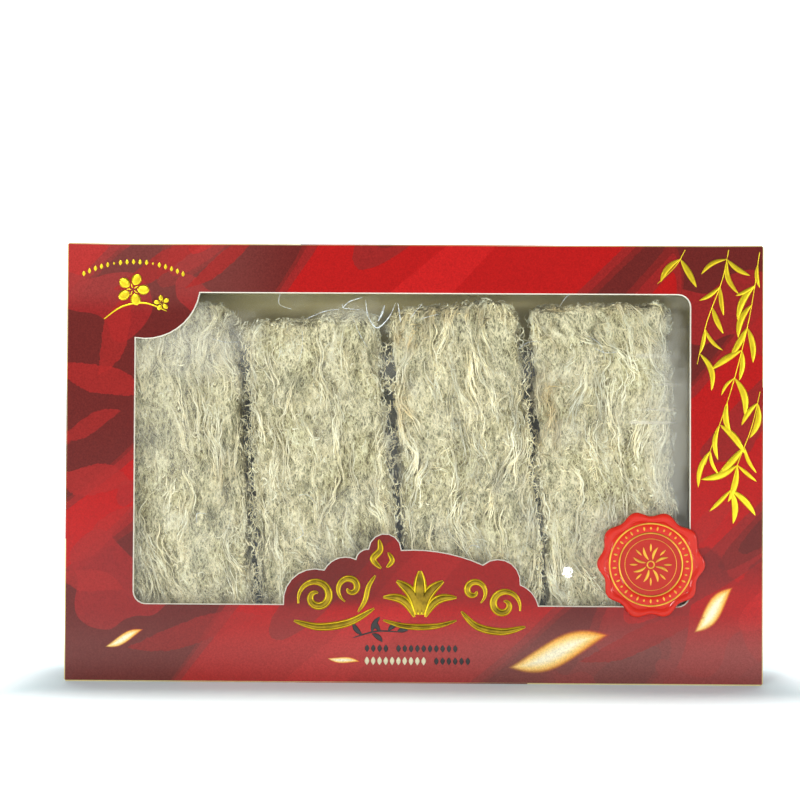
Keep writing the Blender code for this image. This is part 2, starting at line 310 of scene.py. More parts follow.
def print_material():
    """The carton's glossy printed side: brush bands in reds, soft glowing petals and fine flecks, with whitish haze
    at the bottom and top left as painted reflection.
    """
    s = Shade("printed_card")
    p = s.position()
    x, y, z = s.split(p)
    wrap_x = y * 0.4 + x
    flat = s.join(wrap_x, y * 0.25, z)
    warp = s.noise(flat, 0.013, 0.0) * 46.0 - 23.0
    u = wrap_x * 0.56 + z * -0.83 + warp
    wave = s.math("SINE", u * (2 * math.pi / 104) + 3.4)
    steep = wrap_x * 0.74 + z * -0.67
    fine = s.math("SINE", steep * (2 * math.pi / 41) + 0.9)
    tone = fine * 0.55 + wave
    left = s.range(z * -0.25 + x, -85, -125)
    right = s.range(x, 112, 122) * s.range(z, 84, 104)
    low = s.range(z * -0.6 + x, 10, 120) * s.range(z, 40, 4)
    dark = s.largest(left, right * 0.9, low)
    tone = dark * -1.5 + tone + 0.75
    share = s.range(tone, -2.0, 2.2, kind="LINEAR")
    edge = s.noise(flat, 0.55, 2.0) * 0.012 - 0.006
    colour = s.ramp(
        share + edge,
        [(0.0, MAROON), (0.36, (0.19, 0.013, 0.010, 1)), (0.41, MID_RED), (0.5, BRIGHT), (0.86, LIGHT_RED)],
        "CONSTANT",
    )
    brush = s.noise(s.join(z * 0.5 + wrap_x, 0.0, x * -0.35 + z), 0.03, 0.5)
    stroke = s.range(brush, 0.545, 0.55) * s.range(dark, 0.3, 0.5)
    colour = s.mix(stroke * 0.75, colour, (0.30, 0.013, 0.012, 1))
    hill = s.math("SINE", x * 0.21) * 7.0 + s.noise(flat, 0.1, 3.0) * 22.0 + 44.0
    hill = s.range(hill - z, 0.0, 1.5) * s.range(x, 121, 124)
    hill = hill * s.range(z, 36, 52)
    colour = s.mix(hill * 0.55, colour, (0.13, 0.012, 0.010, 1))
    shade = s.range(z, 46, 0) * s.range(x, 0, 60)
    colour = s.mix(shade * 0.35, colour, (0.11, 0.010, 0.009, 1))
    plaque = s.range(s.math("ABSOLUTE", x), 62, 56) * s.range(z, 30, 38)
    plaque = plaque * (s.range(z, 100, 90) * s.range(y, -14.0, -16.0))
    colour = s.mix(plaque * s.range(x, 12, -38, 0.42, 0.82), colour, (0.11, 0.006, 0.003, 1))
    # Whitish haze towards the bottom and at the top left: painted reflection of the floor and of the room.
    painted_sheen = s.range(z, 34, 12) * s.range(x, -120, 90, 0.15, 0.36)
    painted_sheen = s.largest(painted_sheen, s.range(x, -50, -90) * s.range(z, 160, 172, 0.0, 0.14))
    colour = s.mix(painted_sheen, colour, (0.36, 0.14, 0.12, 1))
    glow = [
        ((64, 14.5), 15, 48, 13.5),
        ((131, 33), 46, 27, 8.5),
        ((-126, 19), 22, 19, 4.6),
        ((-30, 10), -8, 15, 3.0),
    ]
    for centre, turn, length, width in glow:
        mask, along = petal_mask(s, x, z, centre, turn, length, width)
        soft = s.range(mask, 0.0, 0.34)
        hot = s.ramp(
            s.math("MULTIPLY_ADD", along, -0.16, mask, clamp=True),
            GLOW,
        )
        colour = s.mix(soft, colour, hot)
    for centre, turn, length, width, share in BRUSH:
        mask, along = petal_mask(s, x, z, centre, turn, length, width)
        rough = s.noise(flat, 0.3, 3.0, 0.7) * 0.5 - 0.25
        soft = s.range(mask + rough, 0.0, 0.04)
        colour = s.mix(soft * share, colour, BRUSH_RED)
    grain = s.noise(p, 1.5, 3.0, 0.75) * 1.1 + 0.45
    colour = s.multiplied(colour, grain)
    for turn, seed in ((0.6, 3.0), (-0.9, 11.0), (2.0, 23.0)):
        c, n = math.cos(turn), math.sin(turn)
        a = x * c + z * n
        b = x * -n + z * c
        fleck = s.noise(s.join(a * 0.10, seed, b * 0.75), 1.0, 1.0)
        colour = s.mix(s.range(fleck, 0.80, 0.84) * 0.6, colour, (0.06, 0.008, 0.006, 1))
    s.set(Base_Color=colour, Roughness=0.22, Specular_IOR_Level=0.27)
    s.bump(s.noise(p, 0.9, 3.0, 0.6), 0.12, 0.0002)
    return s.material


def inside_material():
    """The carton's plain khaki inner side."""
    grain = (0.9, 4.0, 0.65)
    khaki, pale = (0.70, 0.585, 0.27, 1), (0.84, 0.71, 0.35, 1)
    return mottled("plain_card", grain, khaki, pale, (grain, 0.2, 0.0002), Roughness=0.7)


def cut_edge_material():
    """The pale core of the card where it was die-cut."""
    return mottled("cut_card", (1.5, 3.0), (0.62, 0.56, 0.44, 1), (0.88, 0.84, 0.74, 1), Roughness=0.75)


def build_carton(finishes):
    """The carton: the CAD sheet cut into cells, so that its panels can bow a little."""
    bm = welded("carton")
    mark = bm.faces.layers.int.new("worn")
    worn = [e for e in bm.edges if is_window_edge(e)]
    for face in bmesh.ops.bevel(bm, geom=worn, offset=0.4 * MM, segments=1, affect="EDGES")["faces"]:
        face[mark] = 1
    for axis, places in (
        (0, np.linspace(-150, 150, 31)),
        (2, np.linspace(4, 188, 20)),
        (1, np.linspace(-12, 14, 4)),
    ):
        normal = Vector((0, 0, 0))
        normal[axis] = 1
        for place in places:
            geometry = list(bm.verts) + list(bm.edges) + list(bm.faces)
            bmesh.ops.bisect_plane(bm, geom=geometry, plane_co=normal * (place * MM), plane_no=normal)
    bm.normal_update()
    for face in bm.faces:
        c, n = face.calc_center_median(), face.normal
        outer, second = sorted((HALF_WIDTH - abs(c.x), c.y - FRONT, BACK - c.y, c.z, HEIGHT - c.z))[:2]
        face.material_index = 2 if face[mark] else 0
        if outer > 0.2 * MM and second > 0.6 * MM and not face[mark]:
            near_front = c.y < FRONT + BOARD * 1.01
            face.material_index = 2 if near_front and abs(n.y) < 0.5 and abs(c.x) < 130 * MM else 1
        face.smooth = False
    for v in bm.verts:
        v.co += bow(v.co)
    mesh = bpy.data.meshes.new("carton_sheet")
    bm.to_mesh(mesh)
    bm.free()
    return add_piece("carton_sheet", mesh, finishes, ["carton"])


def is_window_edge(edge):
    """True for an edge of the window on the carton's outer side, apart from the plaque."""
    a, b = (v.co for v in edge.verts)
    if max(abs(a.y - FRONT), abs(b.y - FRONT)) > 0.01 * MM or len(edge.link_faces) != 2:
        return False
    middle = (a + b) / 2
    if abs(middle.x) > 124 * MM or not 30 * MM < middle.z < 172 * MM:
        return False
    return edge.calc_face_angle(0) > 1.0


def bow(p):
    """How far the card has moved from flat: the long panels bow in a little between the folds."""
    x, z = p.x / HALF_WIDTH, p.z / HEIGHT
    mid_x, mid_z = 1 - x * x, 4 * z * (1 - z)
    face = 1 - 2 * (p.y - FRONT) / (BACK - FRONT)
    ripple = noise.noise(Vector((p.x * 18, face, p.z * 18)))
    edges = min(1, mid_x * 3) * min(1, mid_z * 3)
    move_y = face * (0.25 * mid_x * mid_z + 0.22 * ripple * edges) * MM
    top = max(0.0, (z - 0.9) / 0.1)
    wave = 0.5 + 0.5 * noise.noise(Vector((p.x * 22, p.y * 20, 4.0)))
    move_z = -top * (0.12 + 0.3 * wave) * MM * min(1, mid_x * 4)
    return Vector((0, max(move_y, 0) if face > 0 else min(move_y, 0), move_z))


# Nests

STRAND_SIDES = 3
WRAP_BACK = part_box("inner_wrap")[1].y
SLAB_LEAN = 0.07


def strand_material():
    """Dried nest strands, with their tint painted ivory where they stand out and darker where they lie deep
    (painted light and shade), and with tan stains.
    """
    s = Shade("nest_strand")
    p = s.position()
    tint = s.node("ShaderNodeAttribute", attribute_name="tint", out=2)
    stain = s.range(s.noise(p, 0.045, 3.0, 0.65, (1, 1, 0.6)), 0.5, 0.7)
    top = s.range(s.noise(p, 0.1, 2.0) * 30.0 + s.split(p)[2], 152, 180, 0.0, 0.55)
    patch = s.largest(stain * 0.45, top)
    pale = s.ramp(tint, NEST_PALE)
    warm = s.ramp(tint, NEST_WARM)
    colour = s.mix(patch, pale, warm)
    x, y, z = s.split(p)
    ragged = s.noise(p, 0.14, 3.0, 0.65) * 1.4 - 0.7
    tan = 0.0
    for centre, size, amount in STAINS:
        away = s.apart(x, z, centre, size) + ragged
        tan = s.largest(tan, s.range(away, 1.3, 0.2, 0.0, amount))
    colour = s.mix(tan, colour, (0.74, 0.59, 0.36, 1), "MULTIPLY")
    fine = s.noise(p, 0.7, 2.0, 0.6) * 0.4 + 0.8
    # Broad upright columns are painted lighter and the furrows between them darker, more so on the right slabs:
    # painted light and shade.
    across = z * SLAB_LEAN + x
    ridge = s.noise(s.join(across, y, z * 0.17), 0.16, 2.0, 0.5)
    swing = s.range(x, -25, 5, 0.12, 0.26)
    fine = fine * (s.range(ridge, 0.36, 0.62, -0.8, 1.0) * swing + 0.97)
    colour = s.multiplied(colour, fine)
    s.set(Base_Color=colour, Roughness=0.33)
    return s.material


# Tan stains on the slabs: centre and size (x, z) in millimetres, and how strong
STAINS = [
    ((-2, 153), (9, 10), 0.8),
    ((60, 120), (7, 30), 0.75),
    ((62, 162), (9, 6), 0.6),
    ((-4, 122), (6, 12), 0.55),
    ((-83, 84), (6, 14), 0.4),
    ((16, 161), (32, 6), 0.5),
    ((88, 164), (28, 5), 0.4),
]
NEST_PALE = [
    (0.0, (0.17, 0.15, 0.07, 1)),
    (0.35, (0.57, 0.52, 0.31, 1)),
    (0.65, (0.985, 0.868, 0.565, 1)),
    (1.0, (1.0, 0.95, 0.72, 1)),
]
NEST_WARM = [
    (0.0, (0.14, 0.11, 0.045, 1)),
    (0.35, (0.47, 0.40, 0.20, 1)),
    (0.65, (0.87, 0.79, 0.48, 1)),
    (1.0, (1.0, 0.96, 0.70, 1)),
]
# How many bundles, ropes and curled strands each slab has, and how much lighter it is painted than the others:
# painted light, brighter towards the right
STRANDS = {
    "nest_1": (420, 72, 1500, -0.04),
    "nest_2": (450, 52, 1540, 0.01),
    "nest_3": (450, 78, 1290, 0.02),
    "nest_4": (440, 62, 1420, 0.13),
}
# Clouds of loose strands in the gaps: their two ends and their spread (x, y, z) in millimetres, and how many
LOOSE = {
    "nest_1": [
        ((-76.5, -10.5, 158.0), (-73.5, -10.5, 147.0), (3.4, 1.6, 1.5), 70),
        ((-73.3, -10.2, 148.0), (-68.6, -9.6, 20.0), (2.2, 1.8, 1.0), 300),
    ],
    "nest_2": [((-13.8, -9.0, 150.0), (-5.5, -8.5, 40.0), (1.6, 2.0, 1.0), 120)],
    "nest_3": [((48.5, -9.0, 155.0), (57.0, -8.5, 40.0), (1.6, 2.0, 1.0), 150)],
    "nest_4": [],
}


def net(s, p, scale, turn, seed):
    """A fine net of threads over dark holes that are longer than wide: 0 in a hole, 1 on a thread."""
    x, y, z = s.split(p)
    c, n = math.cos(turn), math.sin(turn)
    across = x * (c * scale) + z * (n * scale)
    along = x * (-n * scale * 0.35) + z * (c * scale * 0.35)
    f = s.noise(s.join(across, y * scale + seed, along), 1.0, 1.5, 0.5)
    return s.math("SUBTRACT", 1.0, s.math("ABSOLUTE", f - 0.5) * 9.0, clamp=True)


def core_material():
    """The matted threads of the slab below its outer strands: a net over hollows, painted dark as shade."""
    s = Shade("nest_core")
    p = s.position()
    tint = s.node("ShaderNodeAttribute", attribute_name="tint", out=2)
    threads = s.largest(net(s, p, 0.62, 0.32, 0.0), net(s, p, 0.7, -0.28, 40.0))
    threads = s.largest(threads, net(s, p, 1.1, 0.0, 90.0) * 0.8)
    # The net's holes are painted dark: painted shade.
    lit = threads * 0.62 + tint * 0.5 - 0.16
    colour = s.mix(s.range(s.noise(p, 0.06, 2.0), 0.45, 0.65), s.ramp(lit, NEST_PALE), s.ramp(lit, NEST_WARM))
    s.set(Base_Color=colour, Roughness=0.5)
    s.bump(threads, 0.9, 0.0007)
    return s.material


def slab_field(name):
    """The smooth surface of a slab, finer on its front: mesh, points, normals and a search tree."""
    bm = welded(name)
    bmesh.ops.join_triangles(bm, faces=bm.faces, angle_face_threshold=0.6, angle_shape_threshold=1.0)
    mesh = subdivided(bm, 2)
    co = points_of(mesh)
    tree = BVHTree.FromPolygons([Vector(c) for c in co], [tuple(f.vertices) for f in mesh.polygons])
    bm = bmesh.new()
    bm.from_mesh(mesh)
    front = [e for e in bm.edges if all(f.normal.y < -0.3 for f in e.link_faces)]
    bmesh.ops.subdivide_edges(bm, edges=front, cuts=1, use_grid_fill=True)
    bm.to_mesh(mesh)
    bm.free()
    normals = np.empty(len(mesh.vertices) * 3, np.float32)
    mesh.vertices.foreach_get("normal", normals)
    return mesh, points_of(mesh), normals.reshape(-1, 3).astype(float), tree


def meander(x, y, z, seed):
    """How far the furrows stray sideways at a point, in metres."""
    wide = noise.noise(Vector((x * 26 + seed, y * 20, z * 24)))
    return 0.014 * wide + 0.0022 * noise.noise(Vector((x * 90, y * 60 + seed, z * 110)))


def relief(p, seed):
    """How proud the slab is at a point, about -1 to 1: long furrows with lumps and pits between them."""
    x, y, z = p[0] + SLAB_LEAN * p[2], p[1], p[2]
    x += meander(x, y, z, seed)
    broad = noise.noise(Vector((x * 95 + seed, y * 95, z * 42)))
    furrow = noise.noise(Vector((x * 340, y * 340 + seed, z * 80)))
    pit = noise.noise(Vector((x * 700, y * 700, z * 300 + seed)))
    return 0.85 * broad + 0.9 * furrow + 0.65 * pit


def reliefs(points, normals, seed):
    """The relief at an array of points, with deeper bays and tufts where the slab's edges turn away."""
    flat = points.reshape(-1, 3).tolist()
    low = np.array([relief(p, seed) for p in flat]).reshape(points.shape[:-1])
    bay = np.array([noise.noise(Vector((p[0] * 150, p[1] * 60 + seed, p[2] * 150))) for p in flat])
    return low + 1.5 * (1 - np.abs(normals[..., 1])) * bay.reshape(points.shape[:-1])


def sink_core(co, normals, lift):
    """The core's points, sunk below the strands and shaped by the relief."""
    edge = 1 - np.abs(normals[:, 1])
    return co + normals * (-1.35 + 0.35 * edge + 1.25 * np.clip(lift, -1.4, 0.8))[:, None] * MM


def flow(p, seed):
    """How far the strands turn from upright at a point, in radians. They follow the furrows."""
    x, step = p.x + SLAB_LEAN * p.z, 0.001
    slope = (meander(x, p.y, p.z + step, seed) - meander(x, p.y, p.z - step, seed)) / (2 * step)
    near = noise.noise(Vector((p.x * 120, p.y * 60 + seed, p.z * 75)))
    return math.atan(slope) + 0.6 * near


def guide(tree, start, rng, seed, step, steps, bend, stray=0.22):
    """A line over the slab's surface that follows its flow: points, normals and side directions."""
    p, n, _, _ = tree.find_nearest(Vector(start))
    turn = rng.choice((-1, 1)) * rng.normal(stray, stray)
    points, normals, sides = [], [], []
    axis = Vector((-SLAB_LEAN, 0, 1))
    across = Vector((rng.normal(), rng.normal(), 0.2))
    for _ in range(steps):
        up = axis - n * axis.dot(n)
        if up.length < 0.45:
            up = across - n * across.dot(n)
        up.normalize()
        side = n.cross(up)
        angle = turn + flow(p, seed)
        direction = up * math.cos(angle) + side * math.sin(angle)
        points.append(p)
        normals.append(n)
        sides.append(direction.cross(n).normalized())
        p, m, _, _ = tree.find_nearest(p + direction * step)
        n = (n + m).normalized()
        turn += rng.normal(0, bend)
    return points, normals, sides


def resample(lines, at):
    """Values along lines of evenly spaced points at places from 0 to 1, by straight steps."""
    count = lines.shape[1]
    place = np.clip(at, 0, 1) * (count - 1)
    low = np.minimum(place.astype(int), count - 2)
    share = (place - low)[..., None]
    rows = np.arange(len(lines))[:, None]
    return lines[rows, low] * (1 - share) + lines[rows, low + 1] * share


def picker(rng, count):
    """A function that draws an even random number for each of many strands, as a column."""
    return lambda low, high: rng.uniform(low, high, (count, 1))


def ripple(pick, low, high, t):
    """Waves along strands, each with its own pace and start."""
    return np.sin(pick(low, high) * t + pick(0, 6.3))


def follow(guides, members, at):
    """Points, normals and sides at places from 0 to 1 along guides, each guide taken once for each member."""
    rows = [[[tuple(v) for v in g[k]] for g in guides] for k in range(3)]
    base, norm, side = (np.repeat(row, members, axis=0) for row in rows)
    return resample(base, at), unit(resample(norm, at)), unit(resample(side, at))


def on_surface(tree, starts):
    """The nearest points on the surface, and their normals."""
    found = [tree.find_nearest(Vector(p)) for p in starts]
    return [np.array([tuple(f[k]) for f in found]) for k in range(2)]


def lying(lead, n):
    """Directions along the surface that come nearest to the given ones."""
    return unit(lead - n * (lead * n).sum(-1, keepdims=True))


def free_lines(place, moves):
    """Lines that start at places and leave them by amounts in given directions."""
    centres = place[:, None]
    for direction, amount in moves:
        centres = centres + direction[:, None] * amount[..., None]
    return centres


def free_sides(centres, outward):
    """Side and outward directions along free lines."""
    tangent = unit(np.gradient(centres, axis=1))
    side = unit(np.cross(tangent, outward[:, None]) + 1e-6)
    return side, unit(np.cross(side, tangent))


def tubes(centres, sides, normals, radius, tint):
    """Closed tapered tubes along many lines at once: points, side faces, end faces and each point's tint, painted
    lighter where the slab's surface turns away from the front (painted light).
    """
    spin = np.arange(STRAND_SIDES) * 2 * math.pi / STRAND_SIDES
    cos, sin = np.cos(spin)[:, None], np.sin(spin)[:, None]
    around = sides[:, :, None] * cos + normals[:, :, None] * sin
    points = centres[:, :, None] + around * radius[:, :, None, None]
    index = np.arange(points.size // 3).reshape(points.shape[:3])
    caps = np.concatenate([index[:, 0][:, ::-1], index[:, -1]])
    tints_with_painted_light = np.repeat(np.clip(tint + 0.2 * (1 - np.abs(normals[..., 1])), 0, 1), STRAND_SIDES)
    return points.reshape(-1, 3), ring_quads(index), caps, tints_with_painted_light


def unit(v):
    return v / np.maximum(np.linalg.norm(v, axis=-1, keepdims=True), 1e-9)


def lumpy(rng, radius, t):
    """Radii along strands: tapered ends with thick and thin places between."""
    knots = ripple(picker(rng, len(radius)), 6, 22, t)
    return radius[:, None] * (1 - 0.65 * np.abs(2 * t - 1) ** 3) * (1 + 0.35 * knots)


def bundle_strands(tree, starts, rng, seed, members, rings):
    """Bundles of strands that run along shared guides, each with its own waves, height and length."""
    guides = []
    for p in starts:
        step = rng.choice((0.55, 1.1, 2.4), p=(0.5, 0.35, 0.15)) * rng.uniform(0.8, 1.25) * MM
        guides.append(guide(tree, p, rng, seed, step, 9, 0.26))
    count = len(guides) * members
    pick = picker(rng, count)
    t = np.linspace(0, 1, rings)
    first, last = pick(0, 0.4), pick(0.6, 1.0)
    c, n, s = follow(guides, members, first + (last - first) * t)
    lane = np.tile(np.arange(members) - (members - 1) / 2, len(guides))[:, None]
    spread = pick(0.35, 0.9) * MM
    drift = rng.normal(0, 1.0, (count, 1)) * MM * (t - 0.5) * 2
    wave = pick(0.1, 0.6) * MM * ripple(pick, 5, 16, t)
    c = c + s * (lane * spread + drift + wave)[..., None]
    height = reliefs(c, n, seed)
    lift = (pick(-0.9, 0.35) + np.clip(height, -1.5, 0.9)) * MM
    arch = pick(0.0, 0.8) * MM * np.sin(math.pi * t)
    sunk = -0.7 * MM * np.abs(2 * t - 1) ** 6
    centres = c + n * (lift + arch + sunk)[..., None]
    radius = lumpy(rng, np.clip(rng.gamma(5.0, 0.036, count), 0.08, 0.42) * MM, t)
    own = np.repeat(rng.normal(0.55, 0.12, len(guides)), members) + rng.normal(0, 0.2, count)
    # The tint is darker in the furrows and lighter on the ridges: painted shade and light.
    return centres, s, n, radius, np.clip(own[:, None] + 0.42 * height, 0, 1)


def rope_strands(tree, starts, rng, seed, members, rings):
    """Long pale strands that lie together on the ridges and follow the furrows."""
    guides = [guide(tree, p, rng, seed, rng.uniform(2.2, 4.2) * MM, 11, 0.05, 0.1) for p in starts]
    count = len(guides) * members
    pick = picker(rng, count)
    t = np.linspace(0, 1, rings)
    c, n, s = follow(guides, members, pick(0, 0.3) + pick(0.5, 0.7) * t)
    lane = rng.normal(0, 1.0, (count, 1)) * (0.6 + 0.8 * np.abs(2 * t - 1)) * MM
    twist = pick(0.15, 0.55) * MM * ripple(pick, 6, 20, t)
    c = c + s * (lane + twist)[..., None]
    height = reliefs(c, n, seed)
    lift = (pick(-0.35, 0.5) + 0.75 * np.clip(height, -1.0, 0.9)) * MM
    centres = c + n * lift[..., None]
    radius = lumpy(rng, rng.uniform(0.13, 0.37, count) * MM, t)
    own = rng.normal(0.8, 0.14, (count, 1))
    # The tint is darker in the furrows and lighter on the ridges: painted shade and light.
    return centres, s, n, radius, np.clip(own + 0.25 * height, 0, 1)


def curl_strands(tree, starts, rng, seed, rings, size):
    """Short curled strands that stand up from the surface a little: hooks, loops and tufts."""
    place, n = on_surface(tree, starts)
    count = len(place)
    pick = picker(rng, count)
    u = lying(rng.normal(size=(count, 3)) * (1, 1, 1.6), n)
    v = np.cross(n, u)
    t = np.linspace(0, 1, rings)
    turns = pick(1.5, 6.0)
    reach = pick(*size) * MM
    angle = turns * t + pick(0, 6.3)
    grow = 1 - pick(0.0, 0.7) * t
    along = pick(-1.8, 1.8) * reach * t
    x = reach * grow * np.cos(angle) + along
    y = reach * grow * np.sin(angle) * pick(0.3, 1.0)
    height = reliefs(place, n, seed)[:, None]
    rise = (pick(-0.7, 0.35) + 0.9 * np.clip(height, -1.5, 0.9)) * MM
    rise = rise + pick(0.1, 1.3) * MM * np.sin(math.pi * t * pick(0.5, 1.0))
    centres = free_lines(place, [(u, x), (v, y), (n, rise)])
    radius = lumpy(rng, np.clip(rng.gamma(5.0, 0.041, count), 0.1, 0.44) * MM, t)
    # The tint is darker in the furrows and lighter on the ridges: painted shade and light.
    tint = np.clip(rng.normal(0.68, 0.2, (count, 1)) + 0.35 * height + 0 * t, 0, 1)
    return centres, *free_sides(centres, n), radius, tint


def tuft_strands(tree, starts, rng, seed, members, rings):
    """Tufts at the slab's edges: short strands that fan out from one place and curl over."""
    place, n = (np.repeat(a, members, axis=0) for a in on_surface(tree, starts))
    count = len(place)
    pick = picker(rng, count)
    place = place + rng.normal(0, 0.5 * MM, (count, 3)) - n * 0.6 * MM
    lead = np.repeat(rng.normal(size=(len(starts), 3)), members, axis=0) + rng.normal(0, 0.6, (count, 3))
    u = lying(lead, n)
    t = np.linspace(0, 1, rings)
    length = pick(1.8, 4.6) * MM
    out = pick(0.2, 0.75) * np.sin(t * pick(1.2, 2.8)) * 0.8
    low = reliefs(place, n, seed)[:, None]
    wave = 0.12 * ripple(pick, 5, 12, t)
    rise = out * length + 0.9 * np.clip(low, -1.5, 0.9) * MM
    centres = free_lines(place, [(u, length * t), (n, rise), (np.cross(n, u), wave * length)])
    radius = lumpy(rng, np.clip(rng.gamma(5.0, 0.034, count), 0.08, 0.34) * MM, t)
    tint = np.clip(rng.normal(0.72, 0.18, (count, 1)) + 0 * t, 0, 1)
    return centres, *free_sides(centres, n), radius, tint


def loose_strands(rng, low, high, spread, count, rings):
    """Loose curled strands in a cloud along a line, in millimetres."""
    pick = picker(rng, count)
    place = np.array(low) + (np.array(high) - low) * rng.random((count, 1))
    place = (place + rng.uniform(-1, 1, (count, 3)) * spread) * MM
    u = unit(rng.normal(size=(count, 3)) * (0.6, 0.5, 1.9))
    v = unit(np.cross(u, rng.normal(size=(count, 3))))
    t = np.linspace(-0.5, 0.5, rings)
    length = pick(2.5, 6.0) * MM
    wave = 0.2 * ripple(pick, 4, 9, t)
    centres = free_lines(place, [(u, length * t), (v, length * wave)])
    radius = lumpy(rng, rng.uniform(0.1, 0.26, count) * MM, t + 0.5)
    tint = np.clip(rng.normal(0.62, 0.15, (count, 1)) + 0 * t, 0, 1)
    return centres, *free_sides(centres, v), radius, tint


def surface_starts(co, normals, lift, rng, count, front, edge):
    """Random points of the surface: most on the front and its ridges, and few on the back."""
    weight = np.where(normals[:, 1] < -0.6, front / 4, np.where(normals[:, 1] > 0.6, 0.05 * front, edge))
    weight = weight * np.clip(1.0 + 1.3 * lift, 0.12, 2.2)
    picked = rng.choice(len(co), count, p=weight / weight.sum())
    return co[picked] + rng.normal(0, 0.5 * MM, (count, 3))


def set_tints_with_painted_light(mesh, tints_with_painted_light):
    layer = mesh.attributes.new("tint", "FLOAT", "POINT")
    layer.data.foreach_set("value", np.asarray(tints_with_painted_light, np.float32).ravel())


def build_nest(name, finishes):
    """One slab: a furrowed core with bundles of strands over it and curled strands on its face and edges."""
    # How much lighter each slab is painted, more towards the right: painted light.
    bundles, ropes, curls, painted_light = STRANDS[name]
    seed = 10.0 * (1 + NESTS.index(name))
    rng = np.random.default_rng(int(seed))
    mesh, co, normals, tree = slab_field(name)
    lift = reliefs(co, normals, seed)
    mesh.vertices.foreach_set("co", sink_core(co, normals, lift).astype(np.float32).ravel())
    mesh.materials.clear()
    mesh.update()
    # The core's tint is darker in the hollows and lighter on the ridges: painted shade and light.
    set_tints_with_painted_light(mesh, np.clip(0.5 + painted_light + 0.55 * lift, 0, 1))
    add_piece(name + "_core", mesh, finishes[1], [name])

    def starts(count, front, edge):
        return surface_starts(co, normals, lift, rng, count, front, edge)

    sets = [
        bundle_strands(tree, starts(bundles, 1.0, 0.6), rng, seed, 4, 8),
        rope_strands(tree, starts(ropes, 1.0, 0.02), rng, seed, 6, 15),
        tuft_strands(tree, starts(75, 0.0, 1.0), rng, seed, 6, 5),
        curl_strands(tree, starts(curls, 0.9, 1.3), rng, seed, 6, (0.35, 1.7)),
    ]
    sets += [loose_strands(rng, *cloud, 6) for cloud in LOOSE[name]]
    parts = [tubes(*one) for one in sets]
    points, faces = joined([part[:3] for part in parts])
    points[:, 1] = np.maximum(points[:, 1], WRAP_BACK + 0.15 * MM)
    strands = make_mesh(name + "_strands", points, faces)
    set_tints_with_painted_light(strands, np.clip(np.concatenate([part[3] for part in parts]) + painted_light, 0, 1))
    add_piece(name + "_strands", strands, finishes[0])


# Clear pieces

CLEAR = (0.93, 0.95, 0.95, 1)

def clear_material(name, haze, gloss, rough, tint=CLEAR, wrinkle=None, hazes_and_sheens=(), deep_painted_reflection=0.0, glint=None):
    """Thin clear plastic: see-through, hazy in patches, some of them painted reflections, with a painted blue-grey
    reflection where it lies deep, shiny at grazing angles.

    A glint is a small tilted place that mirrors the lamp: its centre, its tilt and its reach in millimetres.
    """
    s = Shade(name)
    s.tree.nodes.remove(s.shader)
    p = s.position()
    x, y, z = s.split(p)
    ripples = lean = None
    if wrinkle:
        ripples = lean = s.tilt(s.noise(p, wrinkle[0], 2.0, 0.55), wrinkle[1])
    if glint:
        middle, slope, reach = glint
        away = s.noise(p, 0.7, 2.0) * 1.4 + (s.apart(x, z, middle) - 0.7)
        slope = (x - middle[0]) * slope[0] + (z - middle[1]) * slope[1]
        lean = s.tilt(s.range(away, reach * 1.4, reach) * slope)
    cloud = s.range(s.noise(p, 0.05, 4.0, 0.6), 0.46, 0.7) * haze + haze * 0.25
    # Each veil is a whitish patch: partly haze of the plastic, partly painted reflection.
    for centre, size, amount in hazes_and_sheens:
        away = s.noise(p, 0.11, 3.0, 0.6) * 1.2 + (s.apart(x, z, centre, size) - 0.6)
        cloud = s.largest(cloud, s.range(away, 1.25, 0.2, 0.0, amount))
    # A blue-grey veil deep in the tray, away from its right wall: painted reflection.
    if deep_painted_reflection:
        deep = s.range(y, -12, 6, 0.0, deep_painted_reflection) * s.range(z, 157, 146)
        cloud = s.largest(cloud, deep * s.range(x, 114, 104))
    through = s.node("ShaderNodeBsdfTransparent", ((0.985, 0.99, 0.985, 1),))
    body = s.node("ShaderNodeMixShader", (cloud, through, s.node("ShaderNodeBsdfDiffuse", (tint,))))
    facing = s.node("ShaderNodeLayerWeight", {"Blend": 0.5, "Normal": ripples}, out=1)
    shine = s.node("ShaderNodeBsdfAnisotropic", {"Roughness": rough, "Normal": lean})
    rim = s.math("POWER", facing, 5.0) * 0.5 + gloss
    s.link(s.node("ShaderNodeMixShader", (rim, body, shine)), s.output.inputs["Surface"])
    return s.material


def sheet_grid(xs, zs, depth):
    """A grid over x and z whose depth in y comes from a function of both arrays."""
    x, z = np.meshgrid(xs, zs, indexing="ij")
    points = np.stack([x, depth(x, z), z], -1).reshape(-1, 3)
    index = np.arange(len(points)).reshape(len(xs), len(zs))
    quads = np.stack([index[:-1, :-1], index[1:, :-1], index[1:, 1:], index[:-1, 1:]], -1).reshape(-1, 4)
    return points, quads


# Hazy places of the wrap, partly real haze and partly painted reflections, such as the thin streaks at the right,
# which stand for wrinkles catching the light: centre and size (x, z) in millimetres, and how strong
WRAP_HAZE_AND_SHEEN = [
    ((-98, 148), (34, 20), 0.24),
    ((-28, 161), (15, 6), 0.14),
    ((112, 112), (13, 58), 0.24),
    ((-108, 110), (20, 40), 0.12),
    ((106, 143.5), (16, 1.6), 0.26),
    ((111, 131), (12, 1.6), 0.28),
    ((109, 120), (13, 1.3), 0.3),
    ((106, 114.3), (17, 1.3), 0.34),
    ((112, 96), (12, 2.0), 0.26),
]
# The tilted place of the film: centre (x, z), tilt and reach
GLINT = ((67.6, 48.8), (0.343, -0.388), 2.3)


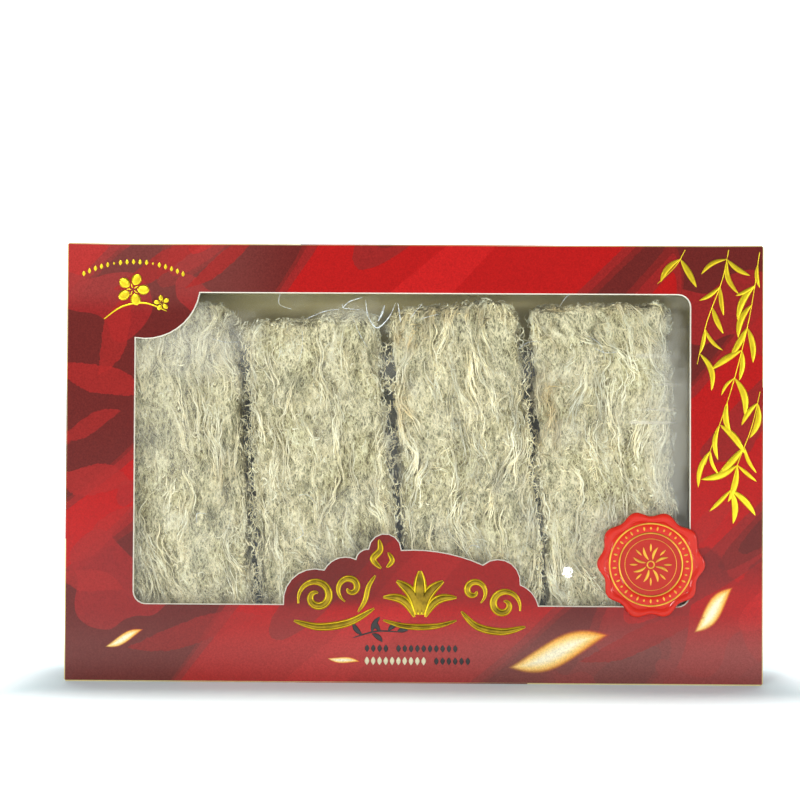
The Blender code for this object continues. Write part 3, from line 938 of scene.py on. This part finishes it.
def build_window_film(finish):
    """The flat film behind the window, with a slight wave."""
    low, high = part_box("window_film")

    def depth(x, z):
        wave = np.sin(x * 61 + 1.3) * np.sin(z * 74 + 0.4) + 0.5 * np.sin(x * 23 + z * 95)
        return low.y + (0.06 + 0.05 * wave) * MM

    points, faces = sheet_grid(np.linspace(low.x, high.x, 57), np.linspace(low.z, high.z, 37), depth)
    mesh = make_mesh("window_film_sheet", points, faces)
    add_piece("window_film_sheet", mesh, finish, ["window_film"])


# Where the creases stand on the wrap, in millimetres, and their lines (x, z) at its top with their widths
CREASE_Y = -15.52
FOLD = [
    (
        ((-21.5, 167.5), (-20.6, 161), (-18.5, 157), (-16.3, 155.3), (-13.2, 157.5), (-10.3, 161.5), (-8.2, 166.5)),
        0.55,
    ),
    (((-13.2, 165.2), (-14.3, 161.5), (-16.0, 158.2)), 0.95),
    (((-31.5, 164.0), (-28.5, 166.8), (-22.8, 168.6)), 0.45),
    (((-31.8, 165.6), (-30.8, 163.8), (-24, 163.2)), 0.3),
    (((-7.4, 166.2), (-6.6, 161.5), (-6.1, 157.6)), 0.4),
    (((-47.5, 159.0), (-40, 162.2), (-33, 163.4)), 0.3),
]


def build_creases(finish):
    """The bright edges where the wrap is folded over at its top, and the fainter ones over the slabs: white
    strokes, a painted highlight.
    """
    rng = np.random.default_rng(8)
    lines = [(curve(*points, steps=10), width) for points, width in FOLD]
    for _ in range(15):
        x = rng.uniform(-120, 115)
        z = rng.choice([rng.uniform(140, 166), rng.uniform(40, 160)])
        turn = rng.uniform(0, math.pi)
        length, bend = rng.uniform(4, 15), rng.normal(0, 2.0)
        c, n = math.cos(turn), math.sin(turn)
        middle = (x + c * length / 2 - n * bend, z + n * length / 2 + c * bend)
        end = (x + c * length, z + n * length)
        lines.append((curve((x, z), middle, end, steps=8), rng.uniform(0.16, 0.26)))
    strokes = [stroke(path, width, 0.12 + 0.2 * width, (0.1, 0.1), 0.5, CREASE_Y) for path, width in lines]
    add_strokes("wrap_creases", strokes, finish, "inner_wrap_plastic")


def crease_material():
    """A folded edge of clear film, painted white and shiny: a painted highlight where the fold catches the light.
    """
    s = Shade("clear_crease")
    n = s.range(s.noise(s.position(), 0.6, 2.0), 0.4, 0.62, 0.25, 0.95)
    s.set(Base_Color=(0.9, 0.93, 0.92, 1), Roughness=0.16, Alpha=n)
    return s.material


def build_wrap(finish):
    """The thin clear wrap over the slabs: loose and waved."""
    low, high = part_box("inner_wrap")

    def depth(x, z):
        a, b = x / MM, z / MM
        wave = 0.2 * np.sin(a / 9 + 2 * np.sin(b / 21)) * np.sin(b / 13 + 1.5 * np.sin(a / 17))
        wave += 0.12 * np.sin(a / 4.1 + 1.7 * np.sin(b / 9)) * np.sin(b / 5.3 + a / 31)
        return np.clip(-15.1 + wave, -15.5, -14.72) * MM

    xs, zs = np.linspace(low.x, high.x, 121), np.linspace(low.z, high.z, 75)
    points, faces = sheet_grid(xs, zs, depth)
    mesh = make_mesh("inner_wrap_sheet", points, faces)
    add_piece("inner_wrap_sheet", mesh, finish, ["inner_wrap"])


POCKET = (-142.0, 124.0, 13.5, 177.0)
POCKET_CORNER = 8.0
FLUTES = (18, 11, 18, 11)
RIBS = 9


def pocket_ring(grow, flute, per_flute=8, corner_steps=6):
    """The tray pocket's outline in millimetres, grown outwards by grow, with rounded flutes."""
    left, right, bottom, top = POCKET
    corners = [(left, bottom), (right, bottom), (right, top), (left, top)]
    ring = []
    for k in range(4):
        (x0, z0), (x1, z1) = corners[k], corners[(k + 1) % 4]
        length = math.hypot(x1 - x0, z1 - z0)
        ax, az = (x1 - x0) / length, (z1 - z0) / length
        count = FLUTES[k] * per_flute
        i = np.arange(count + 1)
        s = POCKET_CORNER + (length - 2 * POCKET_CORNER) * i / count
        swell = grow + flute * (0.5 - 0.5 * np.cos(2 * math.pi * i / per_flute))
        ring.append(np.stack([x0 + ax * s + az * swell, z0 + az * s - ax * swell], -1))
        cx, cz = x1 - (ax + az) * POCKET_CORNER, z1 - (az - ax) * POCKET_CORNER
        start = math.atan2(-ax, az)
        turn = start + np.arange(1, corner_steps) / corner_steps * math.pi / 2
        radius = POCKET_CORNER + grow
        ring.append(np.stack([cx + radius * np.cos(turn), cz + radius * np.sin(turn)], -1))
    return np.concatenate(ring)


def flange_ring(inset):
    """The tray's outer edge, one point for each point of the pocket's outline."""
    low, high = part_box("tray")
    left, right, bottom, top = POCKET
    mx, mz = (left + right) / 2, (bottom + top) / 2
    ring = pocket_ring(0, 0)
    share = (ring - (mx, mz)) / (right - mx, top - mz)
    share /= np.abs(share).max(axis=1, keepdims=True)
    half = np.array([high.x - low.x, high.z - low.z]) / 2 / MM - inset
    return share * half + np.array([high.x + low.x, high.z + low.z]) / 2 / MM


def build_tray(finish):
    """The clear formed tray, one thin skin: flange, lip, fluted wall, foot and a ribbed floor."""
    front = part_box("tray")[0].y / MM
    draft, flute, floor = 1.2, 0.9, 12.1
    rings = [(flange_ring(0), front), (pocket_ring(1.2, 0), front), (pocket_ring(0.4, 0.2 * flute), front + 0.5)]
    for t in (0.1, 0.5, 0.9):
        rings.append((pocket_ring(-draft * t, flute * min(1, 0.5 + t)), front + 1.2 + (floor - 1.6 - front) * t))
    rings += [(pocket_ring(-draft - 0.5, 0.5 * flute), floor - 0.4), (pocket_ring(-draft - 2, 0), floor)]
    count = len(rings[0][0])
    wall = np.concatenate([np.stack([r[:, 0], np.full(count, y), r[:, 1]], -1) for r, y in rings])
    quads = ring_quads(np.arange(len(rings) * count).reshape(len(rings), count))
    left, right, bottom, top = POCKET
    edge = draft + 2

    def depth(x, z):
        across = (z - bottom) * RIBS / (top - bottom) % 1.0 - 0.5
        ends = np.clip(np.minimum(x - left - 14, right - 14 - x) / 4, 0, 1)
        return floor - 1.3 * ends * np.clip(1 - (across / 0.1) ** 2, 0, 1) ** 0.5 - 0.01

    rib = np.array([0.39, 0.41, 0.44, 0.5, 0.56, 0.59, 0.61])
    rows = np.concatenate([[0.0], *(k + rib for k in range(RIBS)), [RIBS]])
    rows = np.clip(bottom + (top - bottom) * rows / RIBS, bottom + edge, top - edge)
    columns = np.clip([left, left + 14, left + 18, 0, right - 18, right - 14, right], left + edge, right - edge)
    base, base_quads = sheet_grid(columns, rows, depth)
    points, faces = joined([(wall, quads), (base, base_quads)])
    mesh = make_mesh("tray_shell", points * MM, faces)
    add_piece("tray_shell", mesh, finish, ["tray"])


# Seal

SEAL_CENTRE = (103.2, 52.6)
SEAL_RADIUS = 22.4
SEAL_BACK = FRONT / MM - 0.3
SEAL_THICK = 1.5


def wax_material():
    """Glossy red of the seal, darker where it dips."""
    s = Shade("seal_wax")
    p = s.position()
    x, _, z = s.split(p)
    inner = s.range(s.apart(x, z, SEAL_CENTRE), 14.6, 13.2)
    red = s.mix(s.noise(p, 0.25, 3.0, 0.6), (0.54, 0.012, 0.005, 1), (0.68, 0.026, 0.009, 1))
    red = s.mix(inner * 0.45, red, (0.32, 0.012, 0.005, 1))
    s.set(Base_Color=red, Roughness=0.4, Specular_IOR_Level=0.12, Coat_Weight=0.35, Coat_Roughness=0.05)
    s.bump(s.noise(p, 0.35, 2.0), 0.15, 0.0006)
    return s.material


def build_seal(finish):
    """The seal: a scalloped edge like pressed wax, a raised rim, a groove and a flat middle."""
    rings = [
        (0.975, 0.0), (0.992, 0.12), (1.0, 0.35), (0.996, 0.6), (0.982, 0.82), (0.96, 0.95), (0.935, 1.0),
        (0.91, 0.97), (0.89, 0.88), (0.873, 0.72), (0.862, 0.6), (0.852, 0.56), (0.843, 0.6), (0.833, 0.72),
        (0.82, 0.76), (0.7, 0.75), (0.645, 0.74), (0.635, 0.66), (0.60, 0.64), (0.3, 0.64), (0.02, 0.64),
    ]
    angle = np.linspace(0, 2 * math.pi, 180, endpoint=False)
    wave = np.cos(10 * angle) + 0.35 * np.sin(3 * angle + 0.7)
    points = []
    for share, rise in rings:
        fade = max(0.0, (share - 0.7) / 0.3)
        r = SEAL_RADIUS * share + 1.1 * wave * fade
        bulge = rise * (1 + (0.06 * np.sin(7 * angle + 1) + 0.05 * np.cos(10 * angle)) * fade)
        y = SEAL_BACK - SEAL_THICK * np.minimum(bulge, 1.0)
        x, z = SEAL_CENTRE[0] + r * np.cos(angle), SEAL_CENTRE[1] + r * np.sin(angle)
        points.append(np.stack([x, y, z], -1))
    index = np.arange(len(rings) * len(angle)).reshape(len(rings), len(angle))
    faces = [ring_quads(index), index[:1, ::-1], index[-1:]]
    mesh = make_mesh("seal_wax", np.concatenate(points) * MM, faces)
    add_piece("seal_wax", mesh, finish, ["seal"])


# Raised foil and ink

FOIL_Y = FRONT / MM - 0.04
# Leaves of the dark sprig: base (x, z), angle in degrees and length
SPRIG = [
    ((-22, 21), 128, 7),
    ((-18, 22), 62, 8),
    ((-14, 22.6), 118, 6),
    ((-11, 22.6), 35, 7),
    ((-18, 21.6), -38, 6),
    ((-7, 22.4), 8, 5),
]

def stroke(path, width, height, taper=(0.0, 0.0), power=1.0, y=FOIL_Y, ring=False):
    """A raised brush stroke along (x, z) points in millimetres, with a ridged face: points and quads."""
    path = np.asarray(path, float)
    count = len(path)
    w = np.full(count, width / 2.0)
    if ring:
        step = np.roll(path, -1, axis=0) - np.roll(path, 1, axis=0)
    else:
        step = np.gradient(path, axis=0)
        t = np.linspace(0, 1, count)
        w = w * np.maximum(np.sin(math.pi * t) ** power, np.where(t < 0.5, *taper)) + 0.02
    side = unit(np.stack([-step[:, 1], step[:, 0]], -1))
    across = np.array([-1, -0.62, 0, 0.62, 1])
    rise = np.array([0, 0.8, 1.0, 0.8, 0])
    points = path[:, None] + side[:, None] * (w[:, None] * across)[..., None]
    depth = y - height * np.minimum(1, w / max(w.max(), 1e-6) + 0.2)[:, None] * rise
    points = np.stack([points[..., 0], depth, points[..., 1]], -1)
    index = np.arange(count * 5).reshape(count, 5)
    return points.reshape(-1, 3), ring_quads(np.concatenate([index, index[:1]]) if ring else index)


def add_strokes(name, strokes, finish, slot="carton_board"):
    """One piece from many strokes. On the carton they follow the card's bow."""
    points, faces = joined(strokes)
    points = points * MM
    if slot == "carton_board":
        points += np.array([tuple(bow(Vector((x, FRONT, z)))) for x, _, z in points])
    add_piece(name, make_mesh(name, points, faces), finish)


def curve(*points, steps=16):
    """A smooth line through (x, z) points."""
    p = np.array([points[0], *points, points[-1]], float)
    out = []
    for k in range(len(points) - 1):
        a, b, c, d = p[k : k + 4]
        t = np.linspace(0, 1, steps, endpoint=k == len(points) - 2)[:, None]
        square, cube = 2 * a - 5 * b + 4 * c - d, 3 * b - a - 3 * c + d
        out.append(0.5 * (2 * b + (c - a) * t + square * t**2 + cube * t**3))
    return np.concatenate(out)


def spiral(centre, start, turns, outer, inner, steps=60):
    """A spiral from its outer end inwards. A negative number of turns runs clockwise."""
    t = np.linspace(0, 1, steps)
    angle = math.radians(start) + turns * 2 * math.pi * t
    r = outer + (inner - outer) * t**0.8
    return np.stack([centre[0] + r * np.cos(angle), centre[1] + r * np.sin(angle)], -1)


def leaf(base, turn, length, bend=0.12):
    """The middle line of a leaf from its base, at an angle in degrees."""
    t = np.linspace(0, 1, 14)
    c, n = math.cos(math.radians(turn)), math.sin(math.radians(turn))
    x, z = length * t, length * bend * np.sin(math.pi * t)
    return np.stack([base[0] + x * c - z * n, base[1] + x * n + z * c], -1)


def gold_material(name, colour, dark, rough):
    """Hot-stamped foil: bright gold with darker patches painted in as reflections of the room."""
    ridges = ((0.8, 2.0), 0.25, 0.0003)
    return mottled(name, (0.16, 3.0, 0.6), colour, dark, ridges, (0.35, 0.7), Metallic=0.85, Roughness=rough)


def ink_material(name, colour):
    """Flat printed ink."""
    darker = tuple(0.75 * v for v in colour[:3]) + (1,)
    return mottled(name, (2.0, 2.0), colour, darker, Roughness=0.35)


def on_panel(path, margin=0.8):
    """True if a line stays on the front panel, clear of its edges and of the window."""
    x, z = path[:, 0], path[:, 1]
    inside = (np.abs(x) < 151.5) & (z > 2) & (z < 190.5)
    window = (x > -122.2 - margin) & (x < 120.4 + margin) & (z > 34.2 - margin) & (z < 170.1 + margin)
    return bool(np.all(inside & ~window))


def bamboo(rng):
    """Bamboo sprays that hang down the right margin: jointed stems with drooping leaves in threes."""
    stems = [
        curve((150.5, 189), (146, 160), (138, 128), (127, 96)),
        curve((137, 190), (134, 176), (127.5, 158), (123.5, 140)),
        curve((150.8, 128), (147, 112), (141, 96), (137, 80)),
        curve((118, 190), (114, 183), (106, 175)),
    ]
    strokes, middles = [], []
    for line in stems:
        strokes.append(stroke(line, 0.4, 0.12, (0.8, 0.6), 0.3))
        length = np.concatenate([[0], np.cumsum(np.hypot(*np.diff(line, axis=0).T))])
        at = 4.0
        flip = 1
        while at < length[-1]:
            k = int(np.searchsorted(length, at))
            base = line[min(k, len(line) - 1)]
            for turn in (-78, -108, -46, -138):
                size = rng.uniform(9, 17.5)
                path = leaf(base, turn + flip * 8 + rng.normal(0, 9), size, rng.uniform(-0.16, 0.16))
                if on_panel(path) and all(math.dist(path[8], m) > 4.6 for m in middles):
                    middles.append(path[8])
                    strokes.append(stroke(path, size * rng.uniform(0.14, 0.2), 0.16, power=0.75))
            at += rng.uniform(8, 12.5)
            flip = -flip
    return strokes


def blossom(centre, size, turn, petals=5):
    """A five-petalled blossom with its stamens."""
    strokes = []
    for k in range(petals):
        a = math.radians(turn + 360 / petals * k)
        for angle, start, length, width, power in (
            (a, 0.16, 0.42, 0.36, 0.5),
            (a + math.pi / petals, 0.05, 0.17, 0.05, 0.6),
        ):
            path = leaf(spoke(centre, start * size, angle), math.degrees(angle), length * size, 0)
            strokes.append(stroke(path, width * size, 0.2, power=power))
    return strokes


def lozenges(centres, size, height=0.05):
    """Small lozenges, such as stand in a row."""
    return [stroke(leaf((x, z - size[1] / 2), 90, size[1], 0), size[0], height) for x, z in centres]


def plaque_lines():
    """The plaque's ornament: cloud scrolls beside an open lotus, and a flame. Each is a line and its width."""
    lotus = [
        (leaf((3, 30), 90, 19, 0.0), 5.6),
        (leaf((1.6, 30), 121, 17, -0.16), 4.2),
        (leaf((4.4, 30), 59, 17, 0.16), 4.2),
        (leaf((0.6, 29), 148, 16, -0.22), 3.2),
        (leaf((5.4, 29), 32, 16, 0.22), 3.2),
        (curve((-13, 27.5), (-5, 25.2), (3, 24.6), (11, 25.2), (19, 27.5)), 2.0),
    ]
    left = [
        (spiral((-42, 37.5), 200, -1.35, 8.6, 1.6), 2.7),
        (spiral((-27.5, 41.5), 250, -1.15, 6.4, 1.2), 2.2),
        (curve((-52, 27), (-41, 24.4), (-28, 26.4), (-17, 32.5)), 2.8),
        (curve((-24, 31), (-21, 36), (-19.5, 42), (-16.5, 47)), 1.6),
    ]
    right = [
        (spiral((39.5, 34.5), -20, 1.3, 7.6, 1.4), 2.5),
        (spiral((26.5, 40.5), -60, 1.15, 6.0, 1.1), 2.1),
        (curve((49, 25), (39, 22.8), (28, 25), (21, 31.5)), 2.6),
    ]
    flame = [
        (curve((-14, 50), (-17.5, 54), (-14.5, 58), (-15, 62.5)), 2.3),
        (curve((-11.5, 50.5), (-9.2, 53.5), (-11, 57)), 1.5),
    ]
    return lotus + left + right + flame


def build_foil(gold, shaded_gold, ink, cream):
    """Everything stamped or printed over the carton's front in gold, dark ink and cream, with a darker copy of the
    gold as painted shade on the plaque's strokes.
    """
    sprays = bamboo(np.random.default_rng(12))
    sprays += blossom((-123.5, 171.5), 12.5, 70)
    sprays += blossom((-110.8, 165.6), 6.0, 100)
    twig = curve((-136, 158.5), (-128, 164), (-118, 165.5), (-108.5, 162))
    sprays.append(stroke(twig, 0.9, 0.15, (0.5, 0.2), 0.4))
    arc = [(-123.3 + 41 * math.sin(a), 148.5 + 41 * math.cos(a) * 0.86) for a in np.linspace(-0.56, 0.56, 17)]
    sprays += lozenges([p for k, p in enumerate(arc) if k % 6 != 5], (1.5, 2.4))
    sprays += lozenges(arc[5::6], (0.9, 1.2))
    wide = [stroke(line, w + 0.75, 0.22, (0.25, 0.25), 0.5) for line, w in plaque_lines()]
    # A darker copy of the gold along the middle of the plaque's strokes: painted shade.
    slim = [stroke(line, w * 0.72, 0.2, (0.1, 0.1), 0.6, FOIL_Y - 0.2) for line, w in plaque_lines()]
    dark = [stroke(curve((-26, 19.8), (-16, 22.6), (-6, 22.4)), 0.7, 0.03, (0.4, 0.2), 0.4)]
    dark += [stroke(leaf(base, turn, size, 0.1), 2.2, 0.03, power=0.8) for base, turn, size in SPRIG]
    upper, lower = ([(-20 + 2.75 * k, z) for k in range(count)] for z, count in ((15.2, 15), (9.8, 17)))
    dark += lozenges(upper[:4] + upper[5:] + lower[11:], (1.9, 3.4), 0.03)
    add_strokes("gold_sprays", sprays, gold)
    add_strokes("plaque_gold", wide, gold)
    add_strokes("plaque_shaded_gold", slim, shaded_gold)
    add_strokes("dark_print", dark, ink)
    add_strokes("cream_print", lozenges(lower[:10], (2.0, 3.6), 0.03), cream)


def circle(radius, steps=120):
    angle = np.linspace(0, 2 * math.pi, steps, endpoint=False)
    return np.stack([SEAL_CENTRE[0] + radius * np.cos(angle), SEAL_CENTRE[1] + radius * np.sin(angle)], -1)


def build_seal_gold(gold):
    """The seal's two gold rings, the beads between them and the rosette in its middle."""
    face = SEAL_BACK - 0.75 * SEAL_THICK + 0.03
    floor = SEAL_BACK - 0.64 * SEAL_THICK + 0.03
    rings = ((17.9, 0.8), (13.7, 0.7))
    strokes = [stroke(circle(radius), width, 0.14, y=face, ring=True) for radius, width in rings]
    for k in range(34):
        a = math.radians(90 + 360 / 34 * k)
        size = 1.9 if k % 2 else 1.2
        start = spoke(spoke(SEAL_CENTRE, 14.9, a), (1.9 - size) / 2, a)
        strokes.append(stroke(leaf(start, math.degrees(a), size, 0), 0.95, 0.1, power=0.7, y=face))
    for k in range(8):
        turn = 22.5 + 45 * k
        for turn, radius, size, bend, width in ((turn, 2.2, 6.0, 0.1, 1.3), (turn + 22.5, 5.6, 3.6, 0, 0.9)):
            path = leaf(spoke(SEAL_CENTRE, radius, math.radians(turn)), turn, size, bend)
            strokes.append(stroke(path, width, 0.12, power=0.7, y=floor))
    strokes.append(stroke(circle(11.2), 0.3, 0.1, y=floor, ring=True))
    strokes.append(stroke(circle(1.5, 40), 0.7, 0.12, y=floor, ring=True))
    add_strokes("seal_gold", strokes, gold, "seal_red")


# Camera, light and stage

def area_light(name, place, target, size, power):
    """A lamp with a flat face that points at a target."""
    data = bpy.data.lights.new(name, "AREA")
    data.shape = "RECTANGLE"
    data.size, data.size_y = size
    data.energy = power
    made = bpy.data.objects.new(name, data)
    bpy.context.scene.collection.objects.link(made)
    made.location = place
    made.rotation_euler = (Vector(target) - made.location).to_track_quat("-Z", "Y").to_euler()


def build_stage():
    """A white floor that curves up behind the carton. It glows as painted light, dimmer right beside the carton as
    a painted contact shadow and dimmer far in front as painted shade.
    """
    profile = [(-2.5, 0.0), (0.6, 0.0)]
    profile += [(0.6 + 0.4 * math.sin(a), 0.4 - 0.4 * math.cos(a)) for a in np.linspace(0.1, math.pi / 2, 14)]
    profile.append((1.0, 2.6))
    points = [(x, y, z) for x in (-2.6, 2.6) for y, z in profile]
    n = len(profile)
    faces = np.array([(i, i + 1, n + i + 1, n + i) for i in range(n - 1)])
    s = Shade("glowing_floor")
    x, y, _ = s.split(s.position())
    aside = s.math("ABSOLUTE", x) - 150.0
    ahead = s.math("ABSOLUTE", y) - 18.0
    away = s.largest(aside, ahead)
    # Pale cyan, which takes out the red light that the carton throws onto the floor.
    s.set(Base_Color=(0.82, 0.925, 0.93, 1), Roughness=0.9, Emission_Color=(1, 1, 1, 1))
    # The glow is weaker far in front of the carton: painted shade.
    fade = s.range(y, -300, -1300, 1.0, 0.4)
    # The glow is weakest right beside the carton: a painted contact shadow.
    s.set(Emission_Strength=s.range(away, 6, 62, 0.05, 0.8) * fade)
    made = bpy.data.objects.new("floor", make_mesh("floor", points, faces))
    bpy.context.scene.collection.objects.link(made)
    made.data.materials.append(s.material)


def build_view():
    scene = bpy.context.scene
    data = bpy.data.cameras.new("camera")
    data.sensor_width = 36
    data.lens = 50
    camera = bpy.data.objects.new("camera", data)
    scene.collection.objects.link(camera)
    camera.location = (-0.00282, -0.5027, 0.11877)
    camera.rotation_euler = (math.radians(90.57), math.radians(-0.312), math.radians(0.393))
    scene.camera = camera
    scene.view_settings.view_transform = "Standard"
    world = bpy.data.worlds.new("room")
    world.use_nodes = True
    world.node_tree.nodes["Background"].inputs[0].default_value = (0.86, 0.93, 1.0, 1)
    world.node_tree.nodes["Background"].inputs[1].default_value = 0.32
    scene.world = world
    for lamp in (
        ("left_strip", (-1.2, -1.0, 0.17), (0, 0, 0.165), (0.8, 0.12), 4.6),
        ("right_strip", (1.2, -0.98, 0.17), (0, 0, 0.165), (0.8, 0.12), 5.3),
        ("overhead", (0.0, 0.16, 1.4), (0, 0, 0), (0.3, 0.2), 8),
        ("lamp", (-0.30, -0.62, 0.48), (0, 0, 0.09), (0.05, 0.05), 1.4),
    ):
        area_light(*lamp)


# Build

build_stage()
build_view()
build_carton([print_material(), inside_material(), cut_edge_material()])
nest_finishes = [strand_material(), core_material()]
for nest in NESTS:
    build_nest(nest, nest_finishes)
# A soft whitish halo around the film's glint: painted highlight.
painted_glint_halo = (GLINT[0], (4.0, 4.0), 0.12)
build_window_film(clear_material("clear_film", 0.02, 0.016, 0.03, hazes_and_sheens=[painted_glint_halo], glint=GLINT))
build_wrap(clear_material("clear_wrap", 0.05, 0.014, 0.1, (0.98, 0.93, 0.82, 1), (0.3, 0.3), WRAP_HAZE_AND_SHEEN))
build_creases(crease_material())
# The tray's blue-grey veil colour is the colour of its painted reflection.
build_tray(clear_material("clear_tray", 0.02, 0.014, 0.1, (0.62, 0.68, 0.74, 1), deep_painted_reflection=0.4))
build_seal(wax_material())
gold = gold_material("gold_foil", (0.96, 0.73, 0.03, 1), (0.80, 0.56, 0.02, 1), 0.34)
# The same gold, darker, for the plaque: painted shade.
shaded_gold = gold_material("shaded_gold_foil", (0.42, 0.27, 0.02, 1), (0.16, 0.10, 0.01, 1), 0.3)
dark_ink = ink_material("dark_ink", (0.025, 0.02, 0.02, 1))
cream_ink = ink_material("cream_ink", (0.88, 0.80, 0.52, 1))
build_foil(gold, shaded_gold, dark_ink, cream_ink)
build_seal_gold(gold_material("seal_foil", (0.86, 0.47, 0.06, 1), (0.62, 0.30, 0.04, 1), 0.35))
